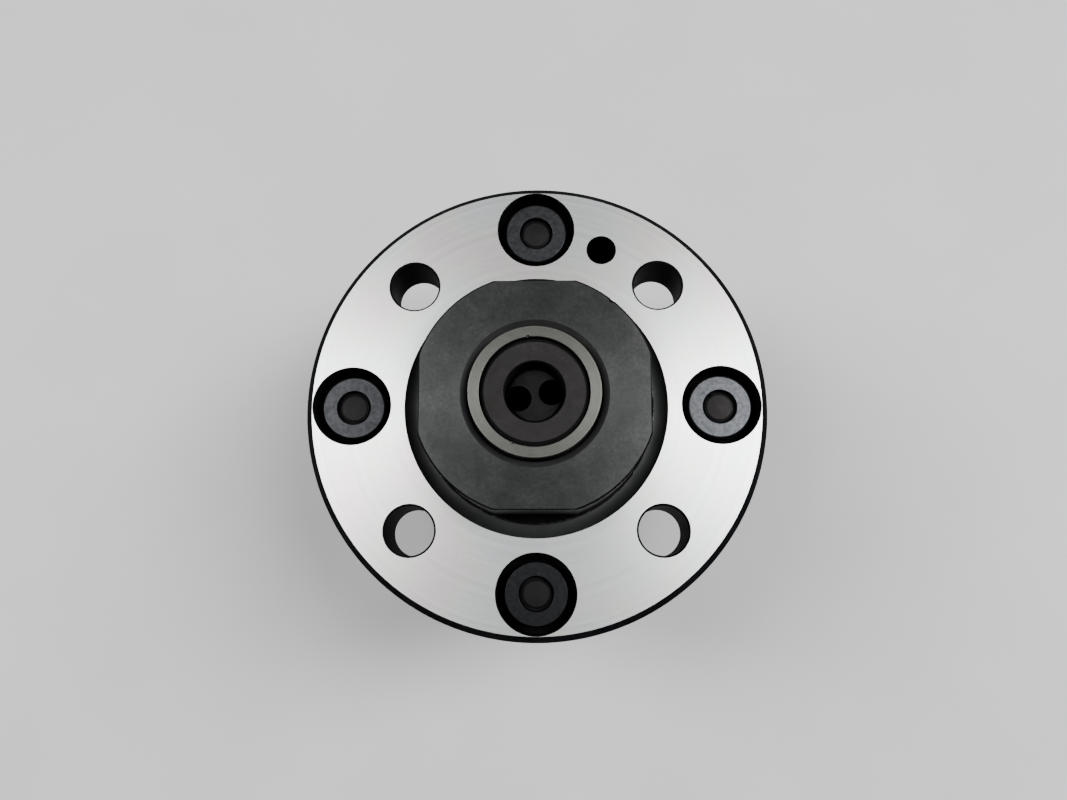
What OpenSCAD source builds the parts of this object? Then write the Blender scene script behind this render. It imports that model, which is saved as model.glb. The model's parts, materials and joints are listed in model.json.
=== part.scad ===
// Flange-mounted face mill with run-out adjustment, as an assembly of separate pieces.
// Origin: centre of the ground mounting face. +Z runs along the spindle axis, from the
// cutting edges up to the spindle nose. Lengths are in millimetres.

/* [Flange] */
// Outer diameter of the flange
flange_d = 100; // [99.5:0.5:106]
// Thickness of the flange
flange_t = 15; // [14.5:0.5:18]
// Chamfer on both rims of the flange
rim_chamfer = 1.35; // [0.5:0.05:1.4]
// Inner diameter of the ground face
face_inner_d = 57; // [56:0.5:58]
// Depth of the relief groove between the ground face and the hub
groove_depth = 1.8; // [1.2:0.1:2.4]
// Diameter of the holes for the mounting bolts
bolt_hole_d = 10.5; // [10:0.1:11]
// Pitch circle of the mounting bolts
bolt_pcd = 76; // [75:0.5:77]
// Depth of the spot face under each mounting bolt
spot_face_depth = 1; // [0.5:0.1:1.5]
// Diameter of the blind hole for the locating pin
pin_hole_d = 6.5; // [5:0.5:7]
// Depth of the blind hole for the locating pin
pin_hole_depth = 12; // [8:0.5:12.5]

/* [Hub] */
// Diameter of the centring hub
hub_d = 50; // [49:0.5:50]
// Height of the hub above the ground face
hub_h = 14.5; // [14:0.5:15]
// Distance across the four flats of the hub
hub_across_flats = 47; // [46:0.5:48]
// Diameter of the collar at the foot of the hub
collar_d = 51; // [50.5:0.1:51.5]
// Chamfer round the top of the hub
hub_chamfer = 0.35; // [0.2:0.05:0.6]

/* [Coolant transfer] */
// Outer diameter of the sprung coolant sleeve
sleeve_d = 27; // [26.5:0.5:27.5]
// Height of the sleeve's sealing face above the ground face
sleeve_top = 16; // [15.8:0.1:16.4]
// Bore of the hollow retaining screw
coolant_bore_d = 12.4; // [12.4:0.1:12.8]
// Diameter of each hole in the flow disc
flow_hole_d = 5.2; // [4:0.1:5.2]
// Distance between the two holes in the flow disc
flow_hole_pitch = 6.9; // [6.2:0.1:6.9]
// Number of turns of the sleeve's spring
spring_turns = 5; // [4:1:6]

/* [Axial adjusters] */
// Pitch circle of the four adjusters
adjuster_pcd = 80; // [79.5:0.5:80]
// Diameter of the pocket round each thrust pad
pocket_d = 17; // [16:0.5:17]
// Depth of the pocket
pocket_depth = 7; // [6.8:0.1:7.5]
// Diameter of the thrust pad
pad_d = 13.8; // [13:0.1:14.5]
// Depth of the pad's top under the ground face
pad_drop = 2.3; // [2.2:0.05:2.4]
// Thread diameter of the adjusting screw
adjuster_thread_d = 10; // [9:0.5:11]

/* [Neck and pilot] */
// Diameter of the neck under the flange
neck_d = 58; // [56:1:59]
// Distance from the ground face to the cutter's seat
seat_drop = 30; // [30:0.5:34]
// Diameter of the pilot that centres the cutter
pilot_d = 27; // [26:1:28]
// Length of the pilot
pilot_l = 20; // [19:0.5:20.5]

/* [Cutter] */
// Cutting diameter over the insert corners
cutting_d = 63; // [62:0.5:64]
// Height of the cutter from its seat to the cutting edges
cutter_h = 40; // [40:0.5:43]
// Side of the square insert
insert_size = 12.7; // [12:0.1:12.7]
// Thickness of the insert
insert_t = 4.76; // [4:0.01:4.76]

/* [Hidden] */

fine = 96;          // sides of a large circle
small = 48;         // sides of a small circle
run_gap = 0.05;     // radial clearance of a running or threaded fit
eps = 0.01;         // overshoot of a cut

// Hub and flange
flat_chamfer = 0.2;
collar_top = -0.6;
collar_chamfer = 0.15;
pin_hole_angle = 67.5;
bolt_angle = 45;
hole_chamfer = 0.2;
spot_face_d = 17.5;
neck_fillet = 3;
neck_chamfer = 0.8;

// Coolant transfer, from the sleeve's sealing face downwards
bore_floor = -4;
sleeve_r = sleeve_d / 2;
hub_bore_r = sleeve_r + run_gap;
hub_bore_relief_r = sleeve_r + 0.45;    // groove open round the sleeve's nose
hub_bore_relief_l = 1.5;
hub_bore_chamfer = 1.2;
sleeve_inner_r = 11.2;
sleeve_bottom = -2;
sleeve_web_top = 11.48;
sleeve_web_bottom = 8.5;
seal_wire_r = 0.7;
seal_groove_w = 2;
seal_z = 4;
seal_groove_r = sleeve_r - 2 * seal_wire_r;
screw_head_r = 11;
screw_head_chamfer = 0.8;
screw_head_top = 15.5;
screw_head_bottom = 11.5;
screw_shank_r = 8.6;
screw_thread_r = 8;
screw_bottom = -16;
flow_disc_top = 11.1;
flow_disc_t = 4;
flow_disc_chamfer = 0.9;
flow_hole_angle = 10.6;
spring_wire_r = 0.85;
spring_mean_r = 9.75;
spring_steps = 24;                      // rings in one turn
spring_sides = 8;

// Axial adjusters
pad_bottom = -6.4;
pad_recess_r = 3.75;
pad_recess_depth = 1.9;
stem_r = 2.9;
stem_drop = 0.75;                       // stem's top under the pad's top
clip_t = 0.5;
clip_r = 3.65;
clip_groove_r = 2.4;
adjuster_shoulder = pad_bottom - 0.1;
adjuster_bottom = -14;
adjuster_hex = 5;
adjuster_hex_depth = 4;

// Pilot, drive keys and arbor screw
pilot_bottom = -seat_drop - pilot_l;
pilot_gap = 0.03;                       // radial clearance in the cutter's bore
arbor_thread_r = 6;
coolant_way_r = 5;
key_w = 12;
key_inner_r = 15;
key_outer_r = 24;
key_sink = 4;                           // depth of the slot in the seat
key_drive = 6.8;                        // height above the seat
key_screw_r = 2;
key_screw_head_r = 3.5;
key_screw_head_h = 4;
key_screw_pos = 19.5;
key_screw_top = -18;
arbor_head_r = 9;
arbor_head_h = 8;
arbor_hex = 10;
arbor_hex_depth = 5;
arbor_bore_r = 2.5;

// Cutter
cutter_front = -seat_drop - cutter_h;
cutter_hub_r = 24;
cutter_body_r = cutting_d / 2 - 1.1;
body_front = cutter_front + 1.2;
web_top = pilot_bottom - 1;
web_bottom = web_top - 6;
flare_top = -seat_drop - 14;
flare_bottom = cutter_front + 14;
recess_r = 11;
insert_count = 4;
insert_angle = 63;                      // direction of the first insert's rake face
insert_corner_r = 0.8;
insert_relief = 11;                     // clearance angle of the insert's sides
insert_inner = cutting_d / 2 - insert_size;
insert_hole_r = 2.2;
insert_screw_head_r = 3;
insert_screw_l = 10.5;
gullet_r = 8;
gullet_tilt = 14;

// Colours
black_oxide = [0.10, 0.10, 0.11];
brown_oxide = [0.22, 0.19, 0.19];
nickel = [0.55, 0.56, 0.55];
gold_carbide = [0.72, 0.58, 0.25];

// Points on an arc of a profile, from angle a0 to angle a1
function arc(cx, cy, r, a0, a1, n) =
    [for (i = [0 : n]) let (a = a0 + (a1 - a0) * i / n) [cx + r * cos(a), cy + r * sin(a)]];

// Carries its children out to a pitch circle at the given angle
module on_circle(pcd, angle) {
    rotate([0, 0, angle]) translate([pcd / 2, 0, 0]) children();
}

// Cylinder between two heights
module rod(r, z0, z1, sides = small) {
    translate([0, 0, z0]) cylinder(r = r, h = z1 - z0, $fn = sides);
}

// Cone between two heights
module taper(r0, r1, z0, z1) {
    translate([0, 0, z0]) cylinder(r1 = r0, r2 = r1, h = z1 - z0, $fn = small);
}

// Six-sided socket cut between two heights
module hex_cut(across, z0, z1) {
    translate([0, 0, z0]) cylinder(d = across / cos(30), h = z1 - z0, $fn = 6);
}

// ---------- Flange body: hub, flange, neck and pilot in one forging ----------

groove_w = face_inner_d / 2 - collar_d / 2;
groove_r = (groove_w * groove_w + groove_depth * groove_depth) / (2 * groove_depth);
groove_end = asin(groove_w / groove_r);

function hub_outline() = [
    [hub_bore_relief_r + hub_bore_chamfer, hub_h],
    [hub_d / 2 - hub_chamfer, hub_h],
    [hub_d / 2, hub_h - hub_chamfer],
    [hub_d / 2, collar_top],
    [collar_d / 2 - collar_chamfer, collar_top],
    [collar_d / 2, collar_top - collar_chamfer]
];

function flange_outline() = concat(
    arc(collar_d / 2, groove_r - groove_depth, groove_r, -90, -90 + groove_end, 10),
    [
        [flange_d / 2 - rim_chamfer, 0],
        [flange_d / 2, -rim_chamfer],
        [flange_d / 2, rim_chamfer - flange_t],
        [flange_d / 2 - rim_chamfer, -flange_t]
    ]
);

function neck_outline() = concat(
    arc(neck_d / 2 + neck_fillet, -flange_t - neck_fillet, neck_fillet, 90, 180, 8),
    [
        [neck_d / 2, neck_chamfer - seat_drop],
        [neck_d / 2 - neck_chamfer, -seat_drop],
        [pilot_d / 2 - pilot_gap, -seat_drop],
        [pilot_d / 2 - pilot_gap, pilot_bottom + 1],
        [pilot_d / 2 - pilot_gap - 1, pilot_bottom]
    ]
);

function bore_outline() = [
    [arbor_thread_r + run_gap, pilot_bottom],
    [arbor_thread_r + run_gap, -seat_drop],
    [coolant_way_r, -seat_drop + 1],
    [coolant_way_r, screw_bottom - 2],
    [screw_thread_r + run_gap, screw_bottom - 2],
    [screw_thread_r + run_gap, bore_floor],
    [hub_bore_r, bore_floor],
    [hub_bore_r, hub_h - hub_bore_chamfer - hub_bore_relief_l],
    [hub_bore_relief_r, hub_h - hub_bore_chamfer - hub_bore_relief_l],
    [hub_bore_relief_r, hub_h - hub_bore_chamfer]
];

module hub_flats() {
    intersection() {
        rod(collar_d / 2, collar_top, hub_h + 1, fine);
        for (a = [0 : 90 : 270])
            rotate([90, 0, a])
                translate([0, 0, -hub_d / 2])
                    linear_extrude(hub_d)
                        polygon([
                            [hub_across_flats / 2, collar_top - 1],
                            [hub_across_flats / 2, hub_h - flat_chamfer],
                            [hub_across_flats / 2 - flat_chamfer - 2, hub_h + 2],
                            [hub_d, hub_h + 2], [hub_d, collar_top - 1]
                        ]);
    }
}

module bolt_hole() {
    rod(bolt_hole_d / 2, -flange_t - 1, 1);
    taper(bolt_hole_d / 2, bolt_hole_d / 2 + hole_chamfer + eps, -hole_chamfer, eps);
    rod(spot_face_d / 2, -flange_t - 1, spot_face_depth - flange_t);
}

module adjuster_seat() {
    rod(pocket_d / 2, -pocket_depth, 1);
    rod(adjuster_thread_d / 2 + run_gap, -flange_t - 1, 0);
    taper(adjuster_thread_d / 2 + 0.6, adjuster_thread_d / 2, -flange_t - eps, 0.5 - flange_t);
}

module pin_hole() {
    rod(pin_hole_d / 2, -pin_hole_depth, 1);
    taper(pin_hole_d / 2, pin_hole_d / 2 + hole_chamfer + eps, -hole_chamfer, eps);
}

module key_seat() {
    translate([key_inner_r - 0.5, -key_w / 2, -seat_drop - 1])
        cube([neck_d / 2, key_w, key_sink + 1]);
    translate([key_screw_pos, 0, 0])
        rod(key_screw_r + run_gap, -seat_drop, key_screw_top + 1);
}

module flange_body() {
    color(black_oxide)
        difference() {
            rotate_extrude($fn = fine)
                polygon(concat(hub_outline(), flange_outline(), neck_outline(), bore_outline()));
            hub_flats();
            for (i = [0 : 3]) {
                on_circle(bolt_pcd, bolt_angle + 90 * i) bolt_hole();
                on_circle(adjuster_pcd, 90 * i) adjuster_seat();
            }
            on_circle(bolt_pcd, pin_hole_angle) pin_hole();
            for (a = [0, 180]) rotate([0, 0, a]) key_seat();
        }
}

// ---------- Coolant transfer ----------

module coolant_sleeve() {
    color(nickel)
        rotate_extrude($fn = fine)
            polygon([
                [sleeve_inner_r, sleeve_top], [sleeve_r - 0.15, sleeve_top],
                [sleeve_r, sleeve_top - 0.15], [sleeve_r, seal_z + seal_groove_w / 2],
                [seal_groove_r, seal_z + seal_groove_w / 2], [seal_groove_r, seal_z - seal_groove_w / 2],
                [sleeve_r, seal_z - seal_groove_w / 2], [sleeve_r, sleeve_bottom + 0.5],
                [sleeve_r - 0.5, sleeve_bottom], [sleeve_inner_r, sleeve_bottom],
                [sleeve_inner_r, sleeve_web_bottom], [screw_shank_r + run_gap, sleeve_web_bottom],
                [screw_shank_r + run_gap, sleeve_web_top], [sleeve_inner_r, sleeve_web_top]
            ]);
}

module sleeve_seal() {
    color("dimgray")
        translate([0, 0, seal_z])
            rotate_extrude($fn = fine)
                translate([sleeve_r - seal_wire_r, 0]) circle(r = seal_wire_r, $fn = 24);
}

// Height of the spring's centre line at turn t: the end turns lie closed, the rest are open
spring_low = bore_floor + spring_wire_r + 0.05;
spring_high = sleeve_web_bottom - spring_wire_r - 0.05;
spring_closed = 2 * spring_wire_r + 0.05;
function spring_z(t) =
    t < 1 ? spring_low + spring_closed * t :
    t > spring_turns - 1 ? spring_high - spring_closed * (spring_turns - t) :
    spring_low + spring_closed
        + (spring_high - spring_low - 2 * spring_closed) * (t - 1) / (spring_turns - 2);

module sleeve_spring() {
    rings = spring_turns * spring_steps;
    points = [
        for (i = [0 : rings], j = [0 : spring_sides - 1])
            let (t = i / spring_steps, a = 360 * t, b = 360 * j / spring_sides,
                 r = spring_mean_r + spring_wire_r * cos(b))
                [r * cos(a), r * sin(a), spring_z(t) + spring_wire_r * sin(b)]
    ];
    walls = [
        for (i = [0 : rings - 1], j = [0 : spring_sides - 1])
            let (k = (j + 1) % spring_sides, p = i * spring_sides, q = p + spring_sides)
                [p + j, p + k, q + k, q + j]
    ];
    first_end = [for (j = [spring_sides - 1 : -1 : 0]) j];
    last_end = [for (j = [0 : spring_sides - 1]) rings * spring_sides + j];
    color("silver") polyhedron(points, concat(walls, [first_end, last_end]));
}

module retaining_screw() {
    bore_r = coolant_bore_d / 2;
    color(brown_oxide)
        rotate_extrude($fn = fine)
            polygon([
                [bore_r + 0.2, screw_head_top], [screw_head_r - screw_head_chamfer, screw_head_top],
                [screw_head_r, screw_head_top - screw_head_chamfer], [screw_head_r, screw_head_bottom],
                [screw_shank_r, screw_head_bottom], [screw_shank_r, bore_floor],
                [screw_thread_r, bore_floor], [screw_thread_r, screw_bottom + 1],
                [screw_thread_r - 1, screw_bottom], [bore_r, screw_bottom],
                [bore_r, screw_head_top - 0.2]
            ]);
}

module flow_disc() {
    disc_r = coolant_bore_d / 2 - 0.01;
    color("dimgray")
        difference() {
            rotate_extrude($fn = small)
                polygon([
                    [0, flow_disc_top], [disc_r - flow_disc_chamfer, flow_disc_top],
                    [disc_r, flow_disc_top - flow_disc_chamfer], [disc_r, flow_disc_top - flow_disc_t],
                    [0, flow_disc_top - flow_disc_t]
                ]);
            for (a = [0, 180])
                on_circle(flow_hole_pitch, flow_hole_angle + a)
                    rod(flow_hole_d / 2, flow_disc_top - flow_disc_t - 1, flow_disc_top + 1);
        }
}

// ---------- Axial adjusters, number 1 on +X, then counter-clockwise ----------

recess_floor = -pad_drop - pad_recess_depth;
clip_bottom = recess_floor + 0.1;

module thrust_pad(i) {
    color(black_oxide)
        on_circle(adjuster_pcd, 90 * (i - 1))
            rotate_extrude($fn = fine)
                polygon([
                    [pad_recess_r, -pad_drop], [pad_d / 2 - 0.3, -pad_drop],
                    [pad_d / 2, -pad_drop - 0.3], [pad_d / 2, pad_bottom + 0.3],
                    [pad_d / 2 - 0.3, pad_bottom], [stem_r + run_gap, pad_bottom],
                    [stem_r + run_gap, recess_floor], [pad_recess_r, recess_floor]
                ]);
}

module adjusting_screw(i) {
    stem_top = -pad_drop - stem_drop;
    color(brown_oxide)
        on_circle(adjuster_pcd, 90 * (i - 1))
            difference() {
                rotate_extrude($fn = small)
                    polygon([
                        [0, stem_top], [stem_r - 0.2, stem_top], [stem_r, stem_top - 0.2],
                        [stem_r, clip_bottom + clip_t + 0.02], [clip_groove_r, clip_bottom + clip_t + 0.02],
                        [clip_groove_r, clip_bottom - 0.02], [stem_r, clip_bottom - 0.02],
                        [stem_r, adjuster_shoulder], [adjuster_thread_d / 2 - 0.6, adjuster_shoulder],
                        [adjuster_thread_d / 2, adjuster_shoulder - 0.6],
                        [adjuster_thread_d / 2, adjuster_bottom + 0.6],
                        [adjuster_thread_d / 2 - 0.6, adjuster_bottom], [0, adjuster_bottom]
                    ]);
                hex_cut(adjuster_hex, adjuster_bottom - 1, adjuster_bottom + adjuster_hex_depth);
            }
}

// Spring clip: a ring with a gap, snapped into the stem's groove
module pad_clip(i) {
    color("gray")
        on_circle(adjuster_pcd, 90 * (i - 1))
            translate([0, 0, clip_bottom])
                difference() {
                    rod(clip_r, 0, clip_t);
                    rod(clip_groove_r + 0.02, -1, clip_t + 1);
                    rotate([0, 0, 135]) translate([0, -0.8, -1]) cube([clip_r + 1, 1.6, clip_t + 2]);
                }
}

// ---------- Cutter ----------

flare_in = cutter_body_r - cutter_hub_r;
flare_down = flare_top - flare_bottom;
flare_r = (flare_in * flare_in + flare_down * flare_down) / (2 * flare_in);
flare_end = asin(flare_down / flare_r);

function cutter_outline() = concat(
    [
        [pilot_d / 2 + 0.5, -seat_drop],
        [cutter_hub_r - 0.8, -seat_drop],
        [cutter_hub_r, -seat_drop - 0.8]
    ],
    arc(cutter_hub_r + flare_r, flare_top, flare_r, 180, 180 + flare_end, 10),
    [
        [cutter_body_r, body_front + 1],
        [cutter_body_r - 1, body_front],
        [recess_r + 1, body_front],
        [recess_r, body_front + 1],
        [recess_r, web_bottom],
        [arbor_thread_r + 0.6, web_bottom],
        [arbor_thread_r + 0.6, web_top],
        [pilot_d / 2, web_top],
        [pilot_d / 2, -seat_drop - 0.5]
    ]
);

// Insert frame: X radial, Z axial, rake face on the plane Y = 0, insert behind it on +Y
module insert_frame(i) {
    rotate([0, 0, insert_angle + 90 * (i - 1)]) children();
}

relief_step = insert_t * tan(insert_relief);

// Seat with two slanting walls, which the insert's relieved sides lie on
module insert_seat() {
    low = cutter_front - 5;
    high = cutter_front + insert_size + 0.02;
    inner = insert_inner - 0.02;
    outer = cutting_d / 2 + 5;
    intersection() {
        translate([0, 0, low])
            linear_extrude(height = high - low)
                polygon([
                    [inner, -eps], [outer, -eps], [outer, insert_t + eps],
                    [inner + relief_step, insert_t + eps]
                ]);
        translate([inner - 1, 0, 0])
            rotate([90, 0, 90])
                linear_extrude(height = outer - inner + 2)
                    polygon([
                        [-eps, low], [insert_t + eps, low], [insert_t + eps, high - relief_step],
                        [-eps, high]
                    ]);
    }
    translate([insert_inner + insert_size / 2, insert_t, cutter_front + insert_size / 2])
        rotate([-90, 0, 0])
            rod(insert_hole_r - 0.15, -1, insert_screw_l - insert_t + 1);
}

// Chip gullet in front of the rake face: a ball-nosed flute that runs out up the flank
module gullet() {
    flute_top = cutter_front + insert_size + 5;
    translate([insert_inner + 8, -gullet_r, flute_top])
        rotate([0, gullet_tilt, 0]) {
            rod(gullet_r, -40, 0);
            sphere(r = gullet_r, $fn = small);
        }
    translate([insert_inner - 0.02, -gullet_r, cutter_front - 5])
        cube([20, gullet_r, insert_size + 5.02]);
}

module cutter_head() {
    color(black_oxide)
        difference() {
            rotate_extrude($fn = fine) polygon(cutter_outline());
            for (i = [1 : insert_count])
                insert_frame(i) {
                    insert_seat();
                    gullet();
                }
            translate([-cutter_hub_r - 1, -key_w / 2 - 0.1, -seat_drop - key_drive - 0.4])
                cube([2 * cutter_hub_r + 2, key_w + 0.2, key_drive + 1]);
        }
}

module rounded_square(size, r) {
    for (x = [r, size - r], z = [r, size - r])
        translate([x, 0, z]) rotate([-90, 0, 0]) cylinder(r = r, h = 0.01, $fn = 32);
}

module cutting_insert(i) {
    color(gold_carbide)
        insert_frame(i)
            difference() {
                translate([insert_inner, 0, cutter_front])
                    hull() {
                        rounded_square(insert_size, insert_corner_r);
                        translate([relief_step, insert_t - 0.01, relief_step])
                            rounded_square(insert_size - 2 * relief_step, insert_corner_r);
                    }
                translate([insert_inner + insert_size / 2, 0, cutter_front + insert_size / 2])
                    rotate([-90, 0, 0]) {
                        rod(insert_hole_r, -1, insert_t + 1);
                        taper(insert_screw_head_r + 0.1, insert_hole_r, -eps, 2);
                    }
            }
}

module insert_screw(i) {
    color("dimgray")
        insert_frame(i)
            translate([insert_inner + insert_size / 2, 0, cutter_front + insert_size / 2])
                rotate([-90, 0, 0])
                    difference() {
                        rotate_extrude($fn = small)
                            polygon([
                                [0, 0.1], [insert_screw_head_r, 0.1], [insert_hole_r - 0.2, 2.1],
                                [insert_hole_r - 0.2, insert_screw_l - 0.4],
                                [insert_hole_r - 0.6, insert_screw_l], [0, insert_screw_l]
                            ]);
                        hex_cut(2.4, -1, 1.8);
                    }
}

// ---------- Drive keys and arbor screw ----------

key_bottom = -seat_drop - key_drive;
key_counterbore = key_screw_head_h + 0.4;

module drive_key(a) {
    color("dimgray")
        rotate([0, 0, a])
            difference() {
                translate([key_inner_r, -key_w / 2 + 0.01, key_bottom])
                    cube([key_outer_r - key_inner_r, key_w - 0.02, key_drive + key_sink]);
                translate([key_screw_pos, 0, 0]) {
                    rod(key_screw_r + 0.2, key_bottom - 1, -seat_drop + key_sink + 1);
                    rod(key_screw_head_r + 0.2, key_bottom - 1, key_bottom + key_counterbore);
                }
            }
}

module key_screws() {
    head_top = key_bottom + key_counterbore;
    color("dimgray")
        for (a = [0, 180])
            rotate([0, 0, a])
                translate([key_screw_pos, 0, 0])
                    difference() {
                        union() {
                            rod(key_screw_head_r, head_top - key_screw_head_h, head_top);
                            rod(key_screw_r, head_top - eps, key_screw_top);
                        }
                        hex_cut(3, head_top - key_screw_head_h - 1, head_top - 2);
                    }
}

module arbor_screw() {
    head_bottom = web_bottom - arbor_head_h;
    color("dimgray")
        difference() {
            rotate_extrude($fn = small)
                polygon([
                    [arbor_bore_r, pilot_bottom + 16], [arbor_thread_r - 0.8, pilot_bottom + 16],
                    [arbor_thread_r, pilot_bottom + 15.2], [arbor_thread_r, web_bottom],
                    [arbor_head_r, web_bottom], [arbor_head_r, head_bottom + 0.6],
                    [arbor_head_r - 0.6, head_bottom], [arbor_bore_r, head_bottom]
                ]);
            hex_cut(arbor_hex, head_bottom - 1, head_bottom + arbor_hex_depth);
        }
}

flange_body();
coolant_sleeve();
sleeve_seal();
sleeve_spring();
retaining_screw();
flow_disc();
thrust_pad(1);  // thrust_pad_1
thrust_pad(2);  // thrust_pad_2
thrust_pad(3);  // thrust_pad_3
thrust_pad(4);  // thrust_pad_4
adjusting_screw(1);  // adjusting_screw_1
adjusting_screw(2);  // adjusting_screw_2
adjusting_screw(3);  // adjusting_screw_3
adjusting_screw(4);  // adjusting_screw_4
pad_clip(1);  // pad_clip_1
pad_clip(2);  // pad_clip_2
pad_clip(3);  // pad_clip_3
pad_clip(4);  // pad_clip_4
cutter_head();
drive_key(0);  // drive_key_1
drive_key(180);  // drive_key_2
key_screws();
arbor_screw();
cutting_insert(1);  // cutting_insert_1
cutting_insert(2);  // cutting_insert_2
cutting_insert(3);  // cutting_insert_3
cutting_insert(4);  // cutting_insert_4
insert_screw(1);  // insert_screw_1
insert_screw(2);  // insert_screw_2
insert_screw(3);  // insert_screw_3
insert_screw(4);  // insert_screw_4
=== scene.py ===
"""Looks of a flange-mounted face mill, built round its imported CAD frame.

Lengths in the profiles are millimetres in the row frame; mesh data is made in metres.
"""
import json
import math

import bmesh
import bpy
from mathutils import Matrix, Vector


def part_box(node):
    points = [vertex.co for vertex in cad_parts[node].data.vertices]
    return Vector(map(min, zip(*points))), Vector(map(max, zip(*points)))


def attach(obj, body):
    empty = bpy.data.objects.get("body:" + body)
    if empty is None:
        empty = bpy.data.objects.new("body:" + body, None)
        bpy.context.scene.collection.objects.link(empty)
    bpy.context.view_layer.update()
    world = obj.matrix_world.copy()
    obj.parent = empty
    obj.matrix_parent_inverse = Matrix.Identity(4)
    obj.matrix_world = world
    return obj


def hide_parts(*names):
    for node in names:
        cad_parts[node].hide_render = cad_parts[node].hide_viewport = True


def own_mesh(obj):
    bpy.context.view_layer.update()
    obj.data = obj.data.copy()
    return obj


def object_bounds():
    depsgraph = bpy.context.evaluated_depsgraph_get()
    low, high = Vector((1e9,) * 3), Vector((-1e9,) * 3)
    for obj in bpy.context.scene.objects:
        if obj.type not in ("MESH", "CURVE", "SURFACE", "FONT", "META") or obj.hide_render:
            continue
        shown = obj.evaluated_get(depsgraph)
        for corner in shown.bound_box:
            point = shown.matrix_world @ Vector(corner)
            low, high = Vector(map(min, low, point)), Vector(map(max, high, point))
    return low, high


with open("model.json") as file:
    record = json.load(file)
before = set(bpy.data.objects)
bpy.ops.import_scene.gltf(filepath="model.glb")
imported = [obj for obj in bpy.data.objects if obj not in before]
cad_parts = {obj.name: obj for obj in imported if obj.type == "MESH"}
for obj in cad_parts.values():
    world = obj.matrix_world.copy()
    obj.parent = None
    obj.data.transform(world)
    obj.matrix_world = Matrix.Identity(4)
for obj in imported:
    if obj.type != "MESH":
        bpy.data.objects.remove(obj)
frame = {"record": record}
cad_low, cad_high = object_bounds()

MM = 0.001
TURN = 2 * math.pi


# ---------- Places, from the frame ----------

def span(node):
    """Low and high corner of a CAD node, in millimetres."""
    low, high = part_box(node)
    return low / MM, high / MM


def mount(name):
    return next(m for m in frame["record"]["mounts"] if m["name"] == name)


body_low, body_high = span("flange_body")
sleeve_low, sleeve_high = span("coolant_sleeve")
screw_low, screw_high = span("retaining_screw")
disc_low, disc_high = span("flow_disc")
spring_low, spring_high = span("sleeve_spring")
pad_low, pad_high = span("thrust_pad_1")
adjuster_low, adjuster_high = span("adjusting_screw_1")
clip_low, clip_high = span("pad_clip_1")
key_low, key_high = span("drive_key_1")
key_screw_tip = span("key_screws")[1].z
arbor_low, arbor_high = span("arbor_screw")
insert_low, insert_high = span("cutting_insert_1")

flange_r = body_high.x
hub_top = body_high.z
pilot_end = body_low.z
seat_z = span("cutter_head")[1].z
cut_z = insert_low.z
bolt_dims = mount("mounting_bolts")["dims"]
bolt_circle_r = bolt_dims["pcd_mm"] / 2
bolt_r = bolt_dims["hole_r_mm"]
pin_dims = mount("locating_pin_hole")["dims"]
pin_place = Vector(mount("locating_pin_hole")["pos_m"]) / MM
hub_flat = mount("hub_flat_x_plus")["pos_m"][0] / MM
adjuster_x = (pad_low.x + pad_high.x) / 2
ADJUSTERS = range(1, 5)


# ---------- Mesh building ----------

ARC_STEPS = 3  # steps of a rounded corner
STRAIGHT = math.radians(12)  # a smaller turn of an outline isn't rounded
THREAD_STEPS = 8  # profile points in one pitch of a thread
SMOOTH_ANGLE = math.radians(38)  # edges sharper than this stay sharp


class Profile:
    """Points (radius, height) of a turned shape. A corner is rounded, and its arc is marked as an edge."""

    def __init__(self, points, radius=0.08, closed=True):
        self.closed = closed
        self.points = []
        self.edges = []
        count = len(points)
        for i, point in enumerate(points):
            size = point[2] if len(point) > 2 else radius
            here = Vector(point[:2])
            ends = not closed and i in (0, count - 1)
            if ends or size <= 0:
                self._add([here])
                continue
            back = Vector(points[i - 1][:2]) - here
            ahead = Vector(points[(i + 1) % count][:2]) - here
            turn = math.pi - back.angle(ahead)
            if turn < STRAIGHT:
                self._add([here])
                continue
            reach = min(size * math.tan(turn / 2), 0.45 * back.length, 0.45 * ahead.length)
            start = here + back.normalized() * reach
            end = here + ahead.normalized() * reach
            arc = []
            for k in range(ARC_STEPS + 1):
                t = k / ARC_STEPS
                arc.append(start * (1 - t) ** 2 + here * 2 * t * (1 - t) + end * t * t)
            self._add(arc)

    def _add(self, arc):
        self.points += arc
        self.edges += [True] * (len(arc) - 1) + [False]


def new_object(name, data):
    obj = bpy.data.objects.new(name, data)
    bpy.context.scene.collection.objects.link(obj)
    return obj


def add_object(bm, name):
    """Turns a bmesh into an object of the scene."""
    mesh = bpy.data.meshes.new(name)
    bm.to_mesh(mesh)
    bm.free()
    return new_object(name, mesh)


def circle_angles(count):
    return [TURN * i / count for i in range(count)]


def polar(r, angle, z=0.0):
    return r * math.cos(angle), r * math.sin(angle), z


def skin(name, rings, bands, looped):
    """Closed mesh through rings of points; a ring of one point is a pole. bands holds material slots."""
    bm = bmesh.new()
    loops = [[bm.verts.new(Vector(p) * MM) for p in ring] for ring in rings]
    pairs = len(loops) if looped else len(loops) - 1
    for i in range(pairs):
        low, high = loops[i], loops[(i + 1) % len(loops)]
        count = max(len(low), len(high))
        for j in range(count):
            k = (j + 1) % count
            corners = [low[j % len(low)], low[k % len(low)], high[k % len(high)], high[j % len(high)]]
            unique = list(dict.fromkeys(corners))
            if len(unique) > 2:
                bm.faces.new(unique).material_index = bands[i]
    if not looped:
        for loop, band in ((loops[0], bands[0]), (loops[-1], bands[-1])):
            if len(loop) > 2:
                bm.faces.new(loop).material_index = band
    bmesh.ops.recalc_face_normals(bm, faces=bm.faces)
    return add_object(bm, name)


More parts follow.
